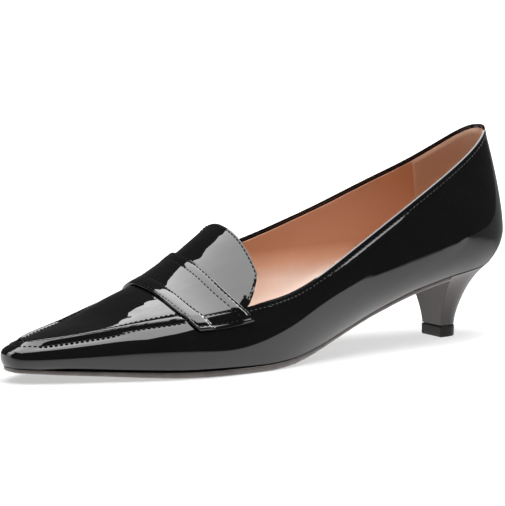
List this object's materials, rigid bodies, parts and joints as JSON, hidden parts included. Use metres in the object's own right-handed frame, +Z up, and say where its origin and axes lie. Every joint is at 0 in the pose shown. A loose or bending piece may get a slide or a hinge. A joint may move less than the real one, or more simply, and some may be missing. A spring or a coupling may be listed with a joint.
{
  "type": "pump shoe",
  "caption": "Black patent slip-on pump for the left foot with a pointed toe, raised apron seam, saddle strap, short tongue and a low curved heel.",
  "frame": {"origin": "on the floor under the middle of the shoe's length and width", "axes": "+X to the toe, +Y to the outer side of the left shoe, +Z up"},
  "size_m": [0.258, 0.0754, 0.094],
  "materials": {
    "patent": "black patent, mirror gloss",
    "lining": "tan lining leather, matt",
    "sole": "dark stained sole leather, satin",
    "heel": "dark brown lacquer, gloss",
    "top_piece": "dark wear piece, satin"
  },
  "bodies": {
    "root": {"upper": "patent", "strap": "patent", "insole": "lining", "outsole": "sole", "heel": "heel", "top_piece": "top_piece"}
  },
  "joints": []
}
